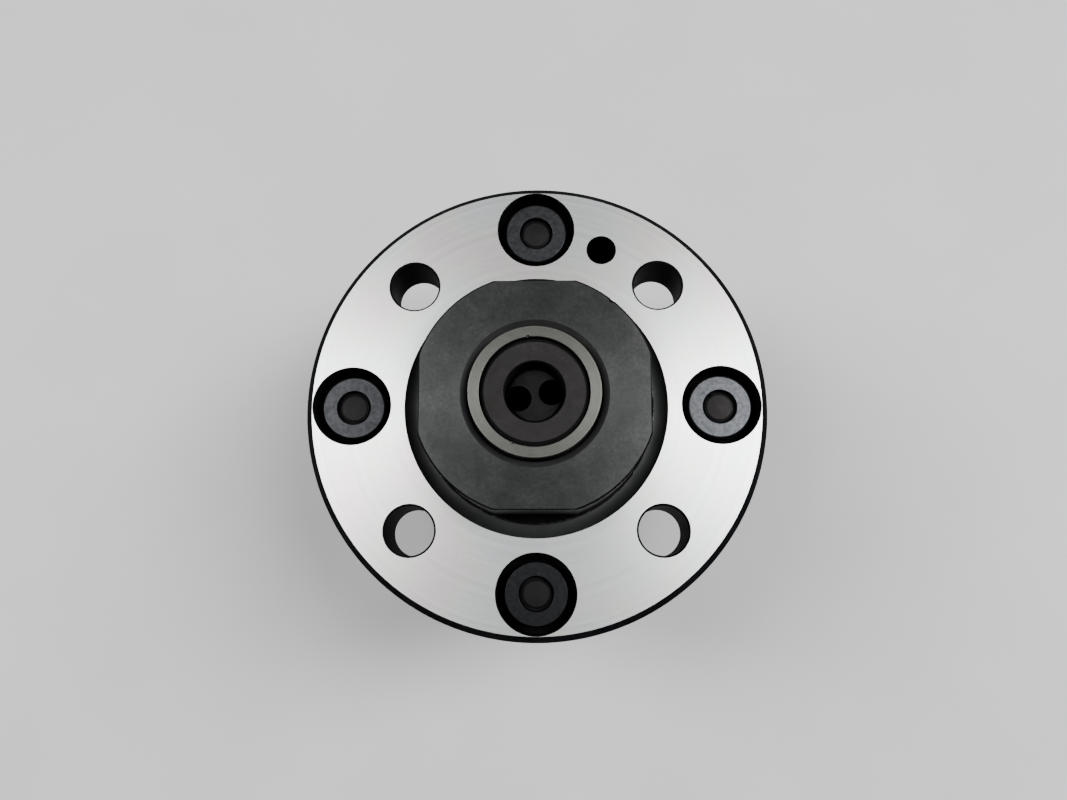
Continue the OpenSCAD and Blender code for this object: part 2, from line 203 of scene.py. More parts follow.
def lathe(name, profile, count=160, shape=None, edge_slot=0, angles=None):
    """Turned mesh about Z. shape(radius, height, angle) may change the radius at an angle."""
    angles = angles or circle_angles(count)
    rings = []
    for r, z in profile.points:
        if r < 1e-6:
            rings.append([(0, 0, z)])
            continue
        rings.append([polar(shape(r, z, a) if shape else r, a, z) for a in angles])
    bands = [edge_slot if edge else 0 for edge in profile.edges]
    return skin(name, rings, bands, profile.closed)


def block(name, low, high):
    """Closed box between two corners, for cutting."""
    bm = bmesh.new()
    bmesh.ops.create_cube(bm, size=1)
    size = Vector(high) - Vector(low)
    for v in bm.verts:
        v.co = (Vector(low) + Vector([(c + 0.5) * s for c, s in zip(v.co, size)])) * MM
    return add_object(bm, name)


def ball(name, centre, radius):
    """Small round cutter for a nick."""
    bm = bmesh.new()
    bmesh.ops.create_icosphere(bm, subdivisions=3, radius=radius * MM)
    bmesh.ops.translate(bm, verts=bm.verts, vec=Vector(centre) * MM)
    return add_object(bm, name)


def sweep(name, path, radius, sides):
    """Round wire along a path of points, with flat ends."""
    rings = []
    for i, point in enumerate(path):
        here = Vector(point)
        along = Vector(path[min(i + 1, len(path) - 1)]) - Vector(path[max(i - 1, 0)])
        along.normalize()
        side = Vector((0, 0, 1)).cross(along).normalized()
        up = along.cross(side)
        rings.append([here + (side * math.cos(a) + up * math.sin(a)) * radius for a in circle_angles(sides)])
    return skin(name, rings, [0] * len(rings), False)


class Thread:
    """Right-hand outside thread between two heights; it fades out at both ends."""

    def __init__(self, radius, low, high, pitch, depth, gap=0.03):
        self.radius, self.low, self.high = radius, low, high
        self.pitch, self.depth, self.gap = pitch, depth, gap

    def points(self):
        """Profile points from low to high."""
        count = round((self.high - self.low) / self.pitch * THREAD_STEPS)
        return [(self.radius, self.low + (self.high - self.low) * i / count, 0) for i in range(count + 1)]

    def shape(self, r, z, angle):
        """Radius of a profile point at an angle. Points off the thread keep theirs."""
        if abs(r - self.radius) > 1e-6 or not self.low <= z <= self.high:
            return r
        phase = (z / self.pitch - angle / TURN) % 1.0
        wave = min(1.0, 1.35 * abs(2 * phase - 1))
        fade = min(1.0, min(z - self.low, self.high - z) / (0.6 * self.pitch))
        return r - self.gap - self.depth * wave * fade


def hexagon(across, angle):
    """Radius of a hexagon, measured across its flats, at an angle."""
    sector = math.pi / 3
    return across / 2 / math.cos((angle + sector / 2) % sector - sector / 2)


def place(obj, x=0.0, y=0.0, turn=0.0):
    """Bakes a shift, then a turn about Z, into an object's mesh."""
    obj.data.transform(Matrix.Rotation(turn, 4, "Z") @ Matrix.Translation(Vector((x, y, 0)) * MM))
    return obj


def join(parts, name):
    """One object holding the meshes of several, which all sit at the origin."""
    bm = bmesh.new()
    for part in parts:
        bm.from_mesh(part.data)
        bpy.data.objects.remove(part)
    return add_object(bm, name)


def settle(obj):
    """Replaces an object's mesh with the result of its modifiers."""
    graph = bpy.context.evaluated_depsgraph_get()
    mesh = bpy.data.meshes.new_from_object(obj.evaluated_get(graph))
    obj.modifiers.clear()
    obj.data = mesh


def carve(obj, cutters):
    """Subtracts the cutters, which don't overlap each other. The faces they leave are in slot 0."""
    tool = join(cutters, "cutting_tool")
    change = obj.modifiers.new("cut", "BOOLEAN")
    change.operation = "DIFFERENCE"
    change.solver = "EXACT"
    change.object = tool
    change.material_mode = "INDEX"
    settle(obj)
    bpy.data.objects.remove(tool)


def smooth(obj):
    """Smooth shading that keeps big flat faces flat."""
    mesh = obj.data
    mesh.shade_smooth()
    mesh.set_sharp_from_angle(angle=SMOOTH_ANGLE)
    change = obj.modifiers.new("face_normals", "WEIGHTED_NORMAL")
    change.keep_sharp = True
    change.weight = 50
    settle(obj)


def dress(obj, materials, rule=None):
    """Gives the materials by slot. rule(centre in mm, normal) may pick another slot, or None to keep it."""
    mesh = obj.data
    mesh.materials.clear()
    for material in materials:
        mesh.materials.append(material)
    if rule:
        for face in mesh.polygons:
            slot = rule(face.center / MM, face.normal)
            if slot is not None:
                face.material_index = slot


def adopt(obj, node, body):
    """obj stands for a CAD node: it rides on its body, and the CAD node is hidden."""
    smooth(obj)
    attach(obj, body)
    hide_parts(node)


# ---------- Materials ----------

QUARTER = 0.25  # quarter turn that spreads a highlight across the ring marks


class Paint:
    """Node material with short helpers. Coordinates are the object's own, in millimetres."""

    def __init__(self, name, metallic, roughness):
        self.material = bpy.data.materials.new(name)
        self.material.use_nodes = True
        self.tree = self.material.node_tree
        self.shader = self.tree.nodes["Principled BSDF"]
        self.shader.inputs["Metallic"].default_value = metallic
        self.shader.inputs["Roughness"].default_value = roughness
        coords = self.node("TexCoord", {})
        scaled = self.node("VectorMath", {0: coords.outputs["Object"], "Scale": 1 / MM}, operation="SCALE")
        self.place = scaled.outputs["Vector"]

    def feed(self, socket, value):
        if isinstance(value, bpy.types.NodeSocket):
            self.tree.links.new(value, socket)
        else:
            socket.default_value = value

    def node(self, kind, inputs, **settings):
        """New shader node. inputs holds values or sockets, by name or number."""
        node = self.tree.nodes.new("ShaderNode" + kind)
        for name, value in settings.items():
            setattr(node, name, value)
        for key, value in inputs.items():
            self.feed(node.inputs[key], value)
        return node

    def vector(self, operation, a, b=(0, 0, 0)):
        node = self.node("VectorMath", {0: a, 1: b}, operation=operation)
        return node.outputs["Value" if operation == "LENGTH" else "Vector"]

    def math(self, operation, a, b=0.0, clamp=False):
        return self.node("Math", {0: a, 1: b}, operation=operation, use_clamp=clamp).outputs[0]

    def radius(self):
        flat = self.vector("MULTIPLY", self.place, (1, 1, 0))
        return self.vector("LENGTH", flat)

    def noise(self, scale, detail=3.0, rough=0.55, warp=0.0, stretch=None, seed=0.0):
        """Noise with `scale` lumps in a millimetre."""
        place = self.place
        if stretch:
            place = self.vector("MULTIPLY", place, stretch)
        if seed:
            place = self.vector("ADD", place, (seed * 13.1, seed * 7.7, seed * 3.3))
        node = self.node("TexNoise", {"Vector": place, "Scale": scale, "Detail": detail, "Roughness": rough,
                                      "Distortion": warp})
        return node.outputs["Fac"]

    def rings(self, scale, detail=2.0, seed=0.0):
        """Noise that only changes with the radius: marks of turning or grinding."""
        distance = self.math("ADD", self.radius(), seed * 31.7)
        node = self.node("TexNoise", {"W": distance, "Scale": scale, "Detail": detail}, noise_dimensions="1D")
        return node.outputs["Fac"]

    def levels(self, value, low, high, out_low=0.0, out_high=1.0):
        node = self.node("MapRange", {"Value": value, "From Min": low, "From Max": high, "To Min": out_low,
                                      "To Max": out_high})
        return node.outputs["Result"]

    def ramp(self, value, *stops):
        node = self.node("ValToRGB", {"Fac": value})
        elements = node.color_ramp.elements
        while len(elements) < len(stops):
            elements.new(0.5)
        for element, (position, colour) in zip(elements, stops):
            element.position = position
            element.color = (*colour, 1)
        return node.outputs["Color"]

    def mix(self, factor, a, b):
        tones = [tone if isinstance(tone, bpy.types.NodeSocket) else (*tone, 1) for tone in (a, b)]
        return self.node("Mix", {0: factor, 6: tones[0], 7: tones[1]}, data_type="RGBA").outputs[2]

    def bump(self, height, depth):
        """Bump of `depth` millimetres for a height from 0 to 1."""
        node = self.node("Bump", {"Height": height, "Distance": depth * MM})
        self.feed(self.shader.inputs["Normal"], node.outputs["Normal"])

    def colour(self, socket):
        self.feed(self.shader.inputs["Base Color"], socket)

    def shades(self, value, dark, light):
        """Colour from dark to light over the middle of a value from 0 to 1."""
        self.colour(self.ramp(value, (0.3, dark), (0.7, light)))

    def roughness(self, socket):
        self.feed(self.shader.inputs["Roughness"], socket)

    def gloss(self, value, low, high):
        """Roughness from low to high over the middle of a value from 0 to 1."""
        self.roughness(self.levels(value, 0.3, 0.7, low, high))

    def brushed(self, amount):
        """Highlights spread across marks that run round the Z axis."""
        self.shader.inputs["Anisotropic"].default_value = amount
        self.shader.inputs["Anisotropic Rotation"].default_value = QUARTER
        node = self.node("Tangent", {}, direction_type="RADIAL", axis="Z")
        self.feed(self.shader.inputs["Tangent"], node.outputs["Tangent"])


def ground_ring():
    """Bright face ground in rings: fine marks, faint bands and soft tints."""
    p = Paint("ground_ring", 1.0, 0.4)
    lines = p.rings(13.0, 4.0)
    bands = p.rings(0.9, 2.0, 3.0)
    cloud = p.noise(0.05, 2.0, seed=1)
    tint = p.ramp(cloud, (0.36, (0.95, 0.865, 0.875)), (0.46, (0.94, 0.935, 0.90)),
                  (0.54, (0.90, 0.93, 0.945)), (0.64, (0.875, 0.93, 0.885)))
    marks = p.math("ADD", p.math("MULTIPLY", bands, 0.5), lines)
    p.colour(p.mix(p.levels(marks, 0.5, 1.0, 0.0, 0.34), tint, (0.5, 0.5, 0.5)))
    p.roughness(p.levels(marks, 0.6, 0.9, 0.36, 0.43))
    p.bump(lines, 0.004)
    p.brushed(0.6)
    return p.material


def oxide(name, dark=(0.005, 0.005, 0.0055), light=(0.015, 0.015, 0.017), rough=0.4, seed=0.0,
          sheen=0.4):
    """Black oxide on machined steel: deep, slightly mottled, satin."""
    p = Paint(name, 0.0, rough)
    p.shader.inputs["Specular IOR Level"].default_value = sheen
    cloud = p.noise(0.25, 5.0, 0.6, seed=seed)
    grain = p.noise(9.0, 3.0, 0.6, seed=seed)
    turned = p.noise(4.0, 4.0, 0.6, stretch=(0.02, 0.02, 1.0), seed=seed)
    p.shades(cloud, dark, light)
    p.roughness(p.levels(p.math("ADD", grain, turned), 0.7, 1.3, rough - 0.08, rough + 0.1))
    p.bump(p.math("ADD", grain, turned), 0.008)
    return p.material


def worn_edge(name, share=0.5, seed=0.0):
    """An oxide edge rubbed through to bare steel in places."""
    p = Paint(name, 0.9, 0.35)
    patch = p.levels(p.noise(0.5, 5.0, 0.65, seed=seed), share, share + 0.12)
    p.colour(p.mix(patch, (0.016, 0.016, 0.018), (0.15, 0.15, 0.145)))
    p.gloss(p.noise(6.0, 2.0), 0.34, 0.5)
    return p.material


def groove_face():
    """Turned relief groove: oxide gone grey, with ring marks."""
    p = Paint("groove_face", 0.7, 0.45)
    cloud = p.noise(0.2, 4.0, seed=8)
    marks = p.rings(8.0, 3.0, 4.0)
    base = p.ramp(cloud, (0.3, (0.026, 0.0275, 0.0275)), (0.7, (0.043, 0.0445, 0.043)))
    p.colour(p.mix(p.levels(marks, 0.3, 0.7, 0.0, 0.5), base, (0.02, 0.021, 0.021)))
    p.gloss(marks, 0.46, 0.62)
    p.bump(marks, 0.006)
    p.brushed(0.4)
    return p.material


def hub_face():
    """The hub's end: grey oxide over a turned face, grainy, a little paler towards its edges."""
    p = Paint("hub_face", 0.85, 0.4)
    cloud = p.noise(0.16, 6.0, 0.65, 0.3)
    base = p.ramp(cloud, (0.34, (0.022, 0.0242, 0.0242)), (0.5, (0.030, 0.0322, 0.0317)),
                  (0.66, (0.039, 0.0410, 0.0390)))
    reach = p.math("ADD", p.radius(), p.levels(cloud, 0.3, 0.7, -1.2, 1.2))
    outer = p.levels(reach, 22.6, 25.2, 0.0, 0.3)
    inner = p.levels(reach, 15.0, 17.4, 0.2, 0.0)
    base = p.mix(p.math("ADD", outer, inner, True), base, (0.046, 0.047, 0.044))
    grain = p.noise(1.3, 7.0, 0.78)
    p.colour(p.mix(p.levels(grain, 0.4, 0.62, 0.0, 0.6), base, (0.017, 0.0175, 0.017)))
    marks = p.rings(9.0, 3.0)
    grit = p.noise(14.0, 3.0)
    p.roughness(p.levels(p.math("ADD", p.noise(0.9, 4.0), grit), 0.7, 1.3, 0.34, 0.5))
    p.bump(p.math("ADD", p.math("MULTIPLY", marks, 0.5), grit), 0.008)
    p.brushed(0.35)
    return p.material


def satin_steel(name, colour=(0.108, 0.108, 0.099), rough=0.38, seed=0.0):
    """Turned steel with fine ring marks."""
    p = Paint(name, 1.0, rough)
    marks = p.rings(11.0, 3.0, seed)
    cloud = p.noise(0.5, 4.0, seed=seed)
    dull = tuple(c * 0.6 for c in colour)
    bright = tuple(c * 1.25 for c in colour)
    tone = p.mix(p.levels(cloud, 0.35, 0.7, 0.0, 0.35), colour, dull)
    tone = p.mix(p.levels(marks, 0.35, 0.6, 0.7, 0.0), tone, dull)
    p.colour(p.mix(p.levels(marks, 0.6, 0.68, 0.0, 0.8), tone, bright))
    p.gloss(marks, rough - 0.06, rough + 0.08)
    p.bump(marks, 0.008)
    p.brushed(0.2)
    return p.material


def brown_oxide(name, seed=0.0, shade=1.0):
    """Blued steel gone brown, with pale specks where it is rubbed."""
    p = Paint(name, 0.6, 0.5)
    p.shader.inputs["Specular IOR Level"].default_value = 0.25
    cloud = p.noise(0.35, 5.0, 0.6, seed=seed)
    tones = (0.0100, 0.0092, 0.0085), (0.0135, 0.0122, 0.0124), (0.0185, 0.0166, 0.0170)
    dark, middle, light = [tuple(c * shade for c in tone) for tone in tones]
    base = p.ramp(cloud, (0.3, dark), (0.55, middle), (0.75, light))
    specks = p.levels(p.noise(2.6, 5.0, 0.7, seed=seed), 0.62, 0.7, 0.0, 1.0)
    patches = p.levels(p.noise(0.22, 2.0, seed=seed + 1), 0.5, 0.62)
    p.colour(p.mix(p.math("MULTIPLY", specks, patches), base, (0.12, 0.115, 0.105)))
    p.gloss(p.noise(5.0, 3.0), 0.42, 0.6)
    p.bump(p.noise(7.0, 4.0, 0.6, seed=seed), 0.012)
    return p.material


def pad_steel(name, seed, shade):
    """Thrust pad: blued and lapped, blotchy where oil has dried. A higher shade makes it brighter: painted
    light for how the pad lies towards the lamps, partly a rubbed finish.
    """
    p = Paint(name, 0.9, 0.36)
    blotch = p.noise(1.1, 6.0, 0.68, seed=seed)
    dark = tuple(c * shade for c in (0.026, 0.028, 0.031))
    light = tuple(c * shade for c in (0.062, 0.064, 0.068))
    p.colour(p.ramp(blotch, (0.34, dark), (0.68, light)))
    marks = p.rings(10.0, 2.0, seed)
    p.gloss(p.noise(4.0, 3.0, seed=seed), 0.3, 0.42)
    p.bump(p.math("ADD", marks, blotch), 0.005)
    return p.material


def grey_disc():
    p = Paint("grey_disc", 0.7, 0.5)
    p.shader.inputs["Specular IOR Level"].default_value = 0.2
    cloud = p.noise(0.6, 4.0)
    p.shades(cloud, (0.0035, 0.0035, 0.0038), (0.007, 0.007, 0.0072))
    p.gloss(p.noise(8.0, 3.0), 0.42, 0.58)
    p.bump(p.rings(6.0), 0.006)
    return p.material


def rubber():
    p = Paint("seal_rubber", 0.0, 0.6)
    p.shades(p.noise(1.5, 3.0), (0.010, 0.010, 0.010), (0.02, 0.02, 0.02))
    p.bump(p.noise(14.0, 2.0), 0.01)
    return p.material


def drawn_wire():
    p = Paint("drawn_wire", 1.0, 0.3)
    p.shades(p.noise(1.0, 3.0), (0.35, 0.35, 0.36), (0.5, 0.5, 0.5))
    p.gloss(p.noise(6.0, 2.0), 0.24, 0.4)
    return p.material


def ground_key():
    p = Paint("ground_key", 0.9, 0.35)
    lines = p.noise(3.0, 3.0, stretch=(1, 14, 1))
    p.shades(lines, (0.10, 0.10, 0.11), (0.17, 0.17, 0.18))
    p.gloss(lines, 0.28, 0.42)
    p.bump(lines, 0.005)
    return p.material


def coated_carbide(name, seed):
    """Gold nitride coating over ground carbide, with droplets."""
    p = Paint(name, 1.0, 0.3)
    cloud = p.noise(0.4, 4.0, seed=seed)
    base = p.ramp(cloud, (0.3, (0.62, 0.42, 0.12)), (0.7, (0.72, 0.52, 0.19)))
    drops = p.levels(p.noise(6.0, 2.0, seed=seed), 0.64, 0.7, 0.0, 0.5)
    p.colour(p.mix(drops, base, (0.35, 0.24, 0.08)))
    p.gloss(p.noise(4.0, 3.0, seed=seed), 0.24, 0.38)
    p.bump(p.noise(10.0, 3.0, seed=seed), 0.004)
    return p.material


OXIDE = oxide("black_oxide")
# Darker and duller copy of the black oxide: painted shade for chamfers, walls, hollows and parts that lie in
# shade.
SHADED_OXIDE = oxide("shaded_oxide", (0.002, 0.002, 0.0025), (0.006, 0.006, 0.007), 0.55, 2.0, 0.012)
GROOVE = groove_face()
WORN = worn_edge("worn_edge")
RING = ground_ring()
HUB = hub_face()
GROUND_KEY = ground_key()
HUB_SIDE = oxide("hub_side_oxide", (0.005, 0.005, 0.0055), (0.013, 0.013, 0.014), 0.5, 7.0, 0.2)
FASTENER = oxide("fastener_oxide", (0.005, 0.005, 0.006), (0.014, 0.014, 0.016), 0.4, 5.0, 0.3)


# ---------- Flange body ----------

RIM_CHAMFER = 1.35
RING_OUTER = flange_r - RIM_CHAMFER
RING_INNER = 28.5
GROOVE_DEPTH = 1.8
GROOVE_STEPS = 12
COLLAR_R = 25.5
COLLAR_TOP = -0.6
COLLAR_EDGE = 0.1
HUB_R = 25.0
HUB_CHAMFER = 0.35
HUB_NICK_TURN, HUB_NICK_R = math.radians(50.5), 0.75
FLAT_CHAMFER = 0.2
FLANGE_LOW = -15.0
NECK_R = 29.0
NECK_FILLET = 3.0
FILLET_STEPS = 8
NECK_CHAMFER = 0.8
PILOT_R = 13.47
PILOT_CHAMFER = 1.0
RELIEF_R, RELIEF_LOW = 13.95, 12.2  # widened mouth of the hub's bore
RELIEF_CHAMFER = 1.2
SLEEVE_BORE_R, SLEEVE_BORE_LOW = 13.55, -4.0
SCREW_BORE_R, SCREW_BORE_LOW = 8.05, -18.0
COOLANT_R = 5.0
ARBOR_BORE_R = 6.05
HOLE_CHAMFER = 0.45
HOLE_LOW = -14.0
COUNTERBORE_R, COUNTERBORE_LOW = 8.75, -17.0  # runs out into the fillet of the neck
POCKET_R, POCKET_LOW, POCKET_CHAMFER = 8.5, -7.0, 0.1
ADJUSTER_BORE_R = 5.05
PIN_LOW, PIN_CHAMFER = -12.0, 0.05
KEY_SLOT_INNER, KEY_SLOT_OUTER = 14.5, 31.0
KEY_SLOT_HALF, KEY_SLOT_DEPTH = 6.0, 4.0
# SHADE_SLOT holds painted shade: the shaded oxide on chamfers, walls and hollows.
OXIDE_SLOT, SHADE_SLOT, RING_SLOT, HUB_SLOT, WORN_SLOT, GROOVE_SLOT, HUB_SIDE_SLOT = range(7)
FLANGE_MATERIALS = [OXIDE, SHADED_OXIDE, RING, HUB, WORN, GROOVE, HUB_SIDE]


def groove_arc():
    """Relief groove between the collar and the ground face."""
    width = RING_INNER - COLLAR_R
    groove_r = (width ** 2 + GROOVE_DEPTH ** 2) / (2 * GROOVE_DEPTH)
    reach = math.asin(width / groove_r)
    arc = []
    for i in range(1, GROOVE_STEPS):
        a = reach * i / GROOVE_STEPS
        arc.append((COLLAR_R + groove_r * math.sin(a), groove_r * (1 - math.cos(a)) - GROOVE_DEPTH, 0))
    return arc + [(RING_INNER, 0, 0.05)]


def fillet_arc():
    """Fillet between the flange's rear face and the neck."""
    arc = []
    for i in range(FILLET_STEPS + 1):
        a = math.pi / 2 * (1 + i / FILLET_STEPS)
        arc.append((NECK_R + NECK_FILLET + NECK_FILLET * math.cos(a),
                    FLANGE_LOW - NECK_FILLET + NECK_FILLET * math.sin(a), 0))
    return arc


def flange_profile():
    hub = [(RELIEF_R + RELIEF_CHAMFER, hub_top), (HUB_R - HUB_CHAMFER, hub_top, 0.05),
           (HUB_R, hub_top - HUB_CHAMFER), (HUB_R, COLLAR_TOP, 0)]
    collar = [(COLLAR_R - COLLAR_EDGE, COLLAR_TOP, 0.06), (COLLAR_R, COLLAR_TOP - COLLAR_EDGE, 0.06),
              (COLLAR_R, -GROOVE_DEPTH, 0)]
    rim = [(RING_OUTER, 0, 0.06), (flange_r, -RIM_CHAMFER, 0.15), (flange_r, FLANGE_LOW + RIM_CHAMFER, 0.15),
           (RING_OUTER, FLANGE_LOW, 0.15)]
    neck = [(NECK_R, seat_z + NECK_CHAMFER), (NECK_R - NECK_CHAMFER, seat_z), (PILOT_R, seat_z, 0),
            (PILOT_R, pilot_end + PILOT_CHAMFER), (PILOT_R - PILOT_CHAMFER, pilot_end)]
    bores = [(ARBOR_BORE_R, pilot_end), (ARBOR_BORE_R, seat_z, 0), (COOLANT_R, seat_z + 1, 0),
             (COOLANT_R, SCREW_BORE_LOW, 0), (SCREW_BORE_R, SCREW_BORE_LOW, 0),
             (SCREW_BORE_R, SLEEVE_BORE_LOW), (SLEEVE_BORE_R, SLEEVE_BORE_LOW, 0),
             (SLEEVE_BORE_R, RELIEF_LOW), (RELIEF_R, RELIEF_LOW, 0),
             (RELIEF_R, hub_top - RELIEF_CHAMFER, 0.1)]
    return Profile(hub + collar + groove_arc() + rim + fillet_arc() + neck + bores)


def hub_shape(r, z, angle):
    """Cuts the hub's four flats into its round outline, with a small rounding on top."""
    if z < COLLAR_TOP - 1e-6 or r > HUB_R + 1e-6 or r < RELIEF_R + 1.5:
        return r
    offset = (angle + math.pi / 4) % (math.pi / 2) - math.pi / 4
    limit = hub_flat - max(0.0, FLAT_CHAMFER - (hub_top - z))
    return min(r, limit / math.cos(offset))


def hub_angles():
    """Even steps round the circle, with extra ones at the corners of the flats."""
    corner = math.acos(hub_flat / HUB_R)
    close = math.radians(0.3)
    corners = [k * math.pi / 2 + side * corner for k in range(4) for side in (-1, 1)]
    extra = [(c + d) % TURN for c in corners for d in (-close, 0, close)]
    even = [a for a in circle_angles(240) if all(abs(a - e) > close * 1.5 for e in extra)]
    return sorted(even + extra)


def hole_profile():
    """Bolt hole from above, with the space for the bolt's head at its lower end."""
    return Profile([(0, 1), (bolt_r + HOLE_CHAMFER + 1, 1, 0), (bolt_r + HOLE_CHAMFER, 0, 0),
                    (bolt_r, -HOLE_CHAMFER, 0), (bolt_r, HOLE_LOW, 0.1), (COUNTERBORE_R, HOLE_LOW, 0.2),
                    (COUNTERBORE_R, COUNTERBORE_LOW, 0), (0, COUNTERBORE_LOW)], closed=False)


def pocket_profile():
    """Pocket of a thrust pad, with the adjusting screw's bore under it."""
    r, bore = POCKET_R, ADJUSTER_BORE_R
    return Profile([(0, 1), (r + POCKET_CHAMFER + 1, 1, 0), (r + POCKET_CHAMFER, 0, 0),
                    (r, -POCKET_CHAMFER, 0), (r, POCKET_LOW, 0.3), (bore + 0.45, POCKET_LOW, 0),
                    (bore, POCKET_LOW - 0.4, 0), (bore, FLANGE_LOW + 0.5, 0), (bore + 0.55, FLANGE_LOW, 0),
                    (bore + 1.55, FLANGE_LOW - 1, 0), (0, FLANGE_LOW - 1)], closed=False)


def pin_profile():
    r = pin_dims["r_mm"]
    return Profile([(0, 1), (r + PIN_CHAMFER + 1, 1, 0), (r + PIN_CHAMFER, 0, 0), (r, -PIN_CHAMFER, 0),
                    (r, PIN_LOW, 0), (0, PIN_LOW - 0.01)], closed=False)


def flange_cutters():
    quarters = [k * math.pi / 2 for k in range(4)]
    cutters = [place(lathe("hole", hole_profile(), 72), x=bolt_circle_r, turn=math.pi / 4 + turn)
               for turn in quarters]
    cutters += [place(lathe("pocket", pocket_profile(), 96), x=adjuster_x, turn=turn) for turn in quarters]
    cutters.append(place(lathe("pin", pin_profile(), 56), x=pin_place.x, y=pin_place.y))
    for turn in (0, math.pi):
        slot = block("key_slot", (KEY_SLOT_INNER, -KEY_SLOT_HALF, seat_z - 1),
                     (KEY_SLOT_OUTER, KEY_SLOT_HALF, seat_z + KEY_SLOT_DEPTH))
        cutters.append(place(slot, turn=turn))
    cutters.append(ball("nick", polar(HUB_R, HUB_NICK_TURN, hub_top), HUB_NICK_R))
    return cutters


def flange_rule(centre, normal):
    """Slot of a face of the flange body, by where it lies and where it looks."""
    r, z, up = math.hypot(centre.x, centre.y), centre.z, normal.z
    level = up > 0.98
    if level and RING_INNER < r < RING_OUTER and z > -0.05:
        return RING_SLOT
    if level and z > hub_top - 0.02:
        return HUB_SLOT
    # The hub's top chamfers get painted shade.
    if up > 0.3 and z > hub_top - HUB_CHAMFER - 0.01 and r > RELIEF_R + 2:
        return SHADE_SLOT
    if abs(up) < 0.3 and z > COLLAR_TOP and RELIEF_R + 2 < r < HUB_R + 0.01:
        return HUB_SIDE_SLOT
    if up > 0.5 and COLLAR_R < r < RING_INNER and z > -GROOVE_DEPTH - 0.01:
        return GROOVE_SLOT
    if up > 0.2 and RELIEF_R < r < RELIEF_R + RELIEF_CHAMFER + 0.1 and z > hub_top - RELIEF_CHAMFER - 0.1:
        return GROOVE_SLOT
    # Walls and chamfers of holes and pockets get painted shade.
    if RING_INNER + 0.1 < r < RING_OUTER and FLANGE_LOW + 0.3 < z < -0.05:  # walls of holes and pockets
        return SHADE_SLOT
    # The rim's upward chamfer gets painted shade; the rim's side keeps the plain oxide.
    if r > RING_OUTER - 0.1:
        return SHADE_SLOT if up > 0.3 else OXIDE_SLOT
    # The collar's top and the hub's bore get painted shade.
    collar_or_bore = up > 0.5 or r < RELIEF_R + 0.1
    if r < COLLAR_R - COLLAR_EDGE - 0.03 and z > COLLAR_TOP - 0.1 and collar_or_bore:
        return SHADE_SLOT
    if COLLAR_R - COLLAR_EDGE - 0.04 < r < COLLAR_R + 0.01 and COLLAR_TOP - COLLAR_EDGE - 0.04 < z < 0:
        return WORN_SLOT
    return None


def build_flange():
    obj = lathe("flange_body_fine", flange_profile(), shape=hub_shape, edge_slot=WORN_SLOT,
                angles=hub_angles())
    carve(obj, flange_cutters())
    dress(obj, FLANGE_MATERIALS, flange_rule)
    adopt(obj, "flange_body", "root")


# ---------- Coolant transfer ----------

SLEEVE_INNER = 11.2
SLEEVE_CHAMFER = 0.5
WEB_LOW, WEB_HIGH = 8.5, 11.48  # inner flange of the sleeve, under the screw's head
HEAD_LOW = 11.5  # under the head of the retaining screw
SHANK_R = 8.6
RUN_GAP = 0.05
SEAL_GROOVE_R, SEAL_GROOVE_LOW, SEAL_GROOVE_HIGH = 12.1, 3.0, 5.0
SEAL_R, SEAL_WIRE_R = 12.8, 0.7
# Nicks in the nose: direction in degrees, distance from the axis, size
NOSE_NICKS = ((97, 11.1, 0.5), (93, 11.1, 0.25), (247, 11.15, 0.42), (182, 13.6, 0.35),
              (20, 11.15, 0.2), (300, 13.5, 0.2))


def build_sleeve():
    r = sleeve_high.x
    top, bottom = sleeve_high.z, sleeve_low.z
    web_r = SHANK_R + RUN_GAP
    profile = Profile([
        (SLEEVE_INNER, top, 0.1), (r - 0.1, top, 0.1), (r, top - 0.15, 0.1), (r, SEAL_GROOVE_HIGH),
        (SEAL_GROOVE_R, SEAL_GROOVE_HIGH), (SEAL_GROOVE_R, SEAL_GROOVE_LOW), (r, SEAL_GROOVE_LOW),
        (r, bottom + SLEEVE_CHAMFER), (r - SLEEVE_CHAMFER, bottom), (SLEEVE_INNER, bottom),
        (SLEEVE_INNER, WEB_LOW), (web_r, WEB_LOW), (web_r, WEB_HIGH), (SLEEVE_INNER, WEB_HIGH)])
    obj = lathe("coolant_sleeve_fine", profile, 192, edge_slot=1)
    nicks = []
    for degrees, radius, size in NOSE_NICKS:
        nicks.append(ball("nick", polar(radius, math.radians(degrees), top + size * 0.25), size))
    carve(obj, nicks)
    dress(obj, [satin_steel("nose_steel"), satin_steel("nose_edge", (0.14, 0.14, 0.13), 0.5, 3.0)])
    adopt(obj, "coolant_sleeve", "sleeve")


def build_seal():
    middle = (SEAL_GROOVE_LOW + SEAL_GROOVE_HIGH) / 2
    wire = [(SEAL_R + SEAL_WIRE_R * math.cos(a), middle + SEAL_WIRE_R * math.sin(a), 0)
            for a in circle_angles(20)]
    obj = lathe("sleeve_seal_fine", Profile(wire), 128)
    dress(obj, [rubber()])
    adopt(obj, "sleeve_seal", "sleeve")


def build_spring():
    """Round wire on the CAD spring's helix: closed end turns, open turns between them."""
    turns, wire, mean = 5, 0.85, 9.75
    low, high = spring_low.z + wire, spring_high.z - wire
    closed = 2 * wire + 0.05
    steps = 40
    path = []
    for i in range(turns * steps + 1):
        t = i / steps
        if t < 1:
            z = low + closed * t
        elif t > turns - 1:
            z = high - closed * (turns - t)
        else:
            z = low + closed + (high - low - 2 * closed) * (t - 1) / (turns - 2)
        path.append(polar(mean, TURN * t, z))
    obj = sweep("sleeve_spring_fine", path, wire, 14)
    dress(obj, [drawn_wire()])
    adopt(obj, "sleeve_spring", "root")
    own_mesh(obj)


